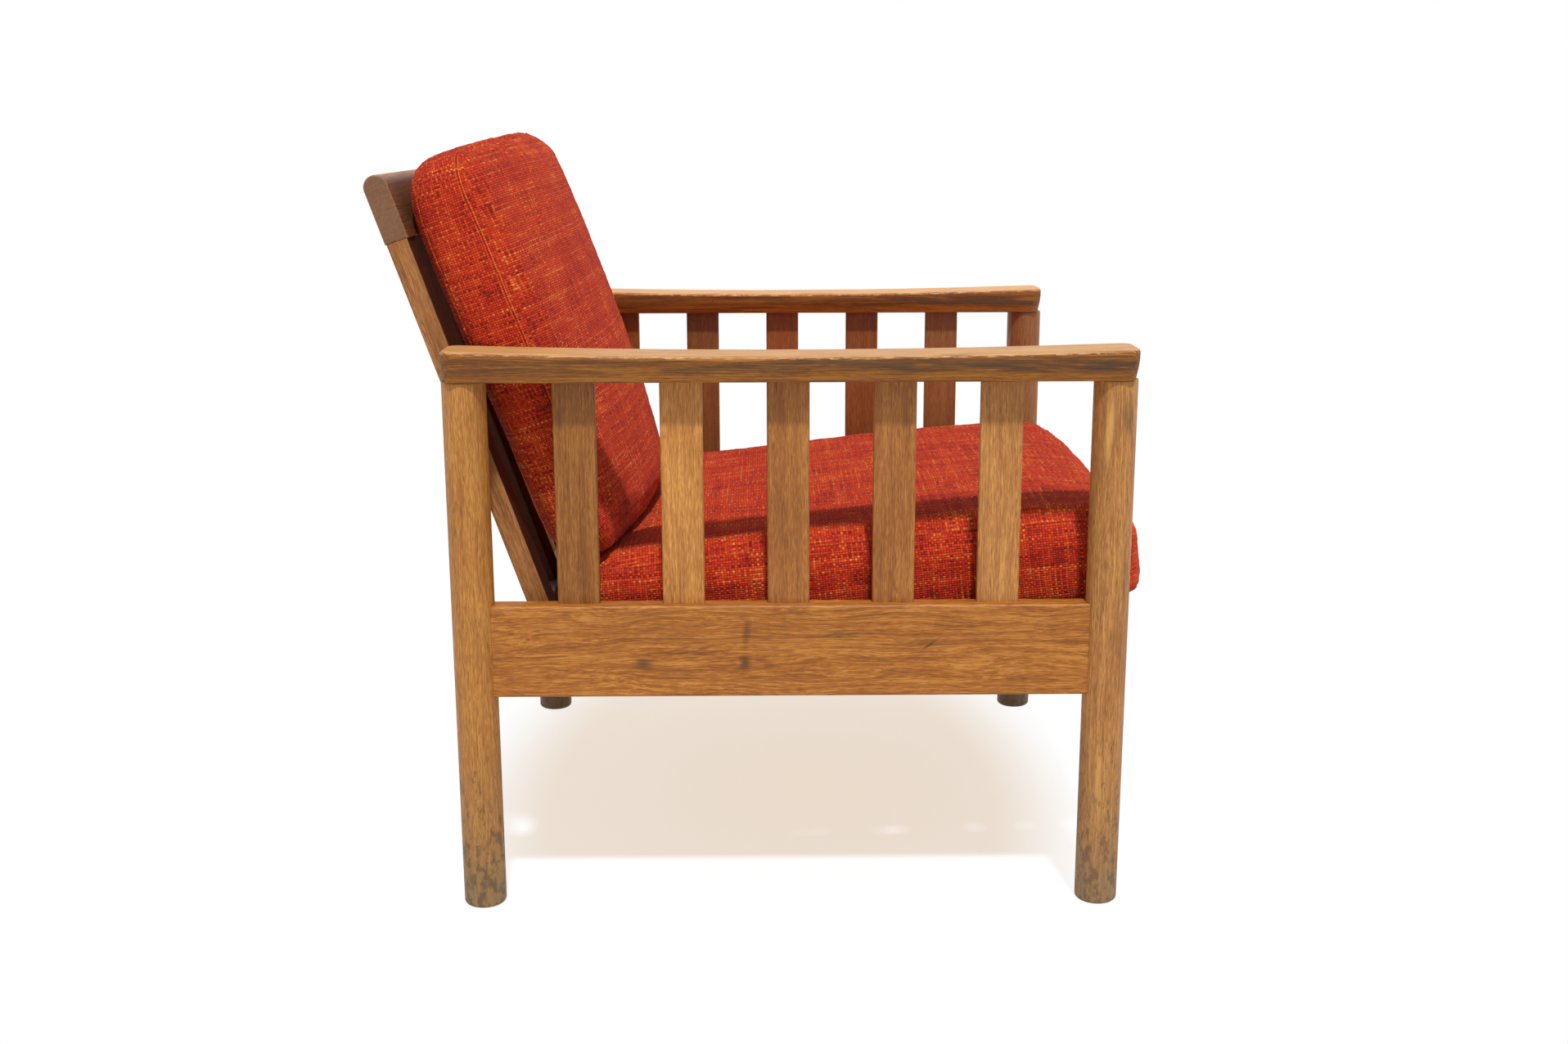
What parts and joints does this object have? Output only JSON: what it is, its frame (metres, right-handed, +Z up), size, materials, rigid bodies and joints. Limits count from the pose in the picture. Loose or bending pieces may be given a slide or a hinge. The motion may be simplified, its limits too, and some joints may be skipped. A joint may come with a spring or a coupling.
{
  "type": "armchair",
  "caption": "Low oak easy chair with round legs, slatted sides under long hollowed armrests, a leaning slatted back and loose tweed cushions.",
  "frame": {"origin": "on the floor, under the middle of the overall box", "axes": "+Z up, -Y the way the sitter faces, +X the sitter's left"},
  "size_m": [0.691, 0.7984, 0.7969],
  "materials": {
    "oak": "oiled, worn satin",
    "tweed": "chunky woven wool, matt",
    "webbing": "matt",
    "steel": "dull zinc"
  },
  "bodies": {
    "root": {"back_bottom_rail": "oak", "back_cushion": "tweed", "back_foot_screws": "steel", "back_side_bolts": "steel", "back_slat_1": "oak", "back_slat_2": "oak", "back_slat_3": "oak", "back_slat_4": "oak", "bearer_screws": "steel", "crest_rail": "oak", "front_rail": "oak", "left_armrest": "oak", "left_back_spacer": "oak", "left_back_stile": "oak", "left_front_leg": "oak", "left_rear_leg": "oak", "left_seat_bearer": "oak", "left_side_rail": "oak", "left_side_slat_1": "oak", "left_side_slat_2": "oak", "left_side_slat_3": "oak", "left_side_slat_4": "oak", "left_side_slat_5": "oak", "rear_rail": "oak", "right_armrest": "oak", "right_back_spacer": "oak", "right_back_stile": "oak", "right_front_leg": "oak", "right_rear_leg": "oak", "right_seat_bearer": "oak", "right_side_rail": "oak", "right_side_slat_1": "oak", "right_side_slat_2": "oak", "right_side_slat_3": "oak", "right_side_slat_4": "oak", "right_side_slat_5": "oak", "seat_cushion": "tweed", "seat_strap_1": "webbing", "seat_strap_2": "webbing", "seat_strap_3": "webbing", "seat_strap_4": "webbing", "seat_strap_5": "webbing", "seat_strap_6": "webbing", "strap_clips": "steel"}
  },
  "joints": []
}
